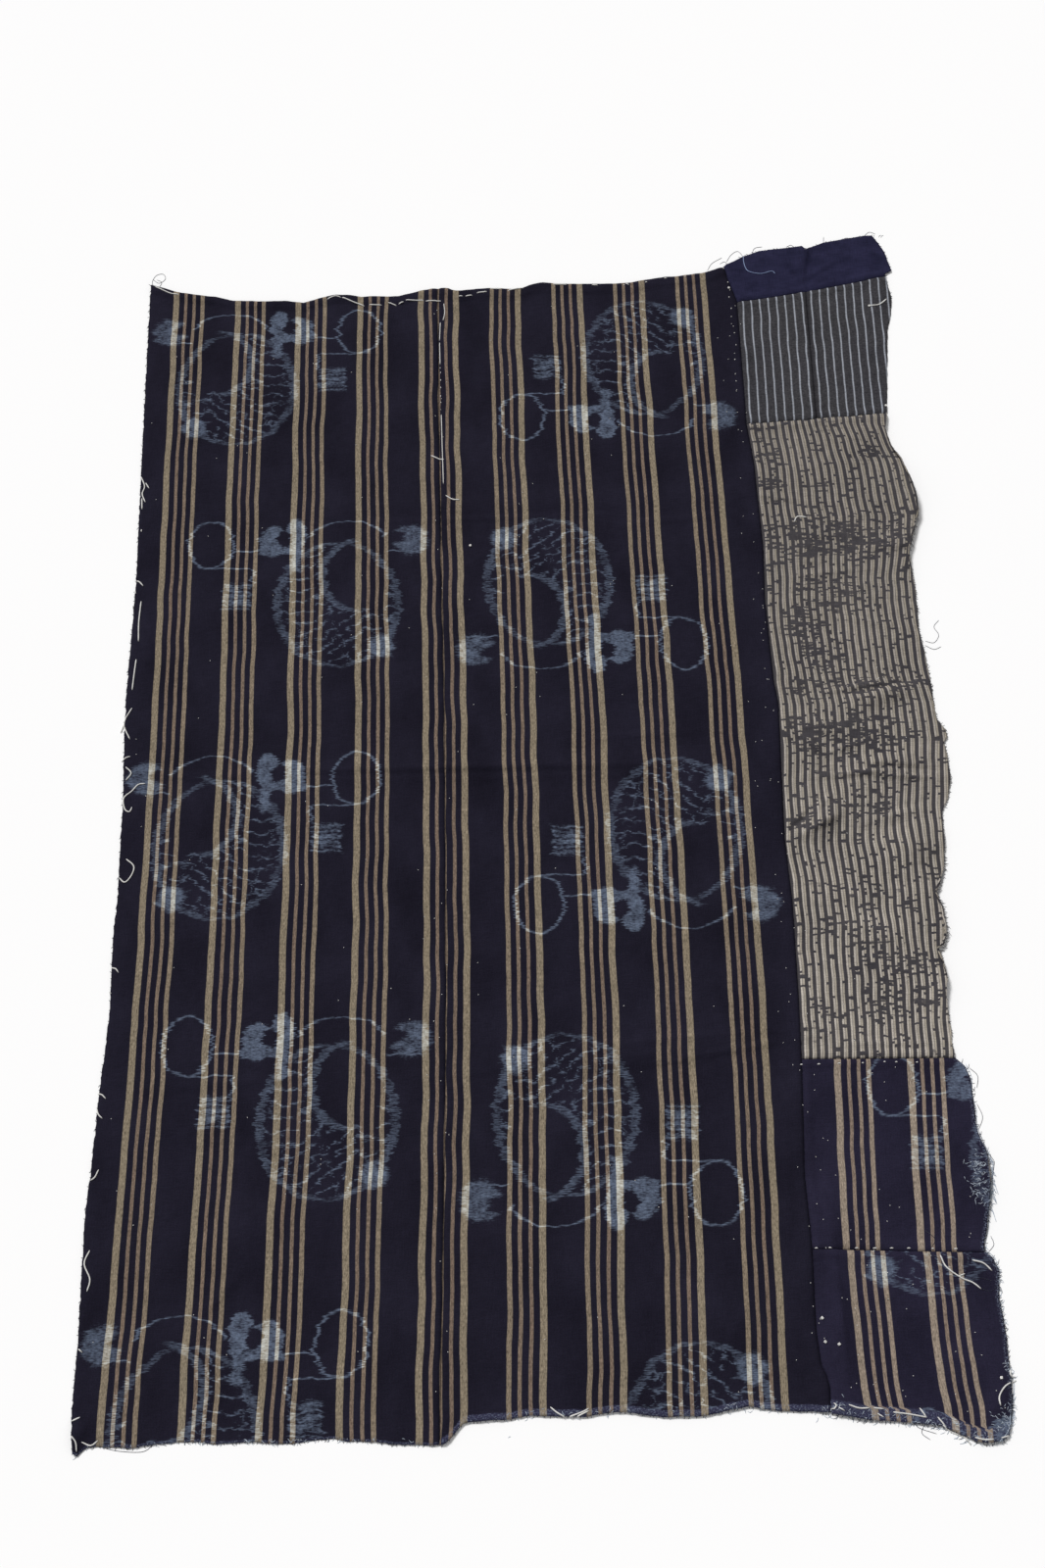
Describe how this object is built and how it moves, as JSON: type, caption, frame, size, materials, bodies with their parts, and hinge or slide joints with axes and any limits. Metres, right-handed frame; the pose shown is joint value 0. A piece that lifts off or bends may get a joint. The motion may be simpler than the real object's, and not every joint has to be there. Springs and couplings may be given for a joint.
{
  "type": "boro patched cloth",
  "caption": "Flat boro cloth: two long striped kasuri panels joined by a centre seam, with a side strip of indigo, pinstriped, worn tan and kasuri patches.",
  "frame": {"origin": "on the surface the cloth lies on, under the middle of its bounding box", "axes": "+Y along the stripes towards the hemmed head, +X across the cloth towards the patched side, +Z out of the face"},
  "size_m": [0.8562, 1.3449, 0.0077],
  "materials": {
    "kasuri_cotton": "matte plain weave, navy with tan warp stripes and pale kasuri figures",
    "indigo_cotton": "matte plain weave, plain indigo",
    "pinstripe_cotton": "matte plain weave, grey-brown with pale blue pinstripes",
    "worn_tan_cotton": "matte plain weave, worn tan double stripes on slate",
    "white_thread": "matte spun cotton sewing thread"
  },
  "bodies": {
    "root": {"panel_left": "kasuri_cotton", "panel_right": "kasuri_cotton", "patch_indigo": "indigo_cotton", "patch_grey_left": "pinstripe_cotton", "patch_grey_right": "pinstripe_cotton", "patch_worn": "worn_tan_cotton", "patch_lower_upper": "kasuri_cotton", "patch_lower_foot": "kasuri_cotton"}
  },
  "joints": []
}
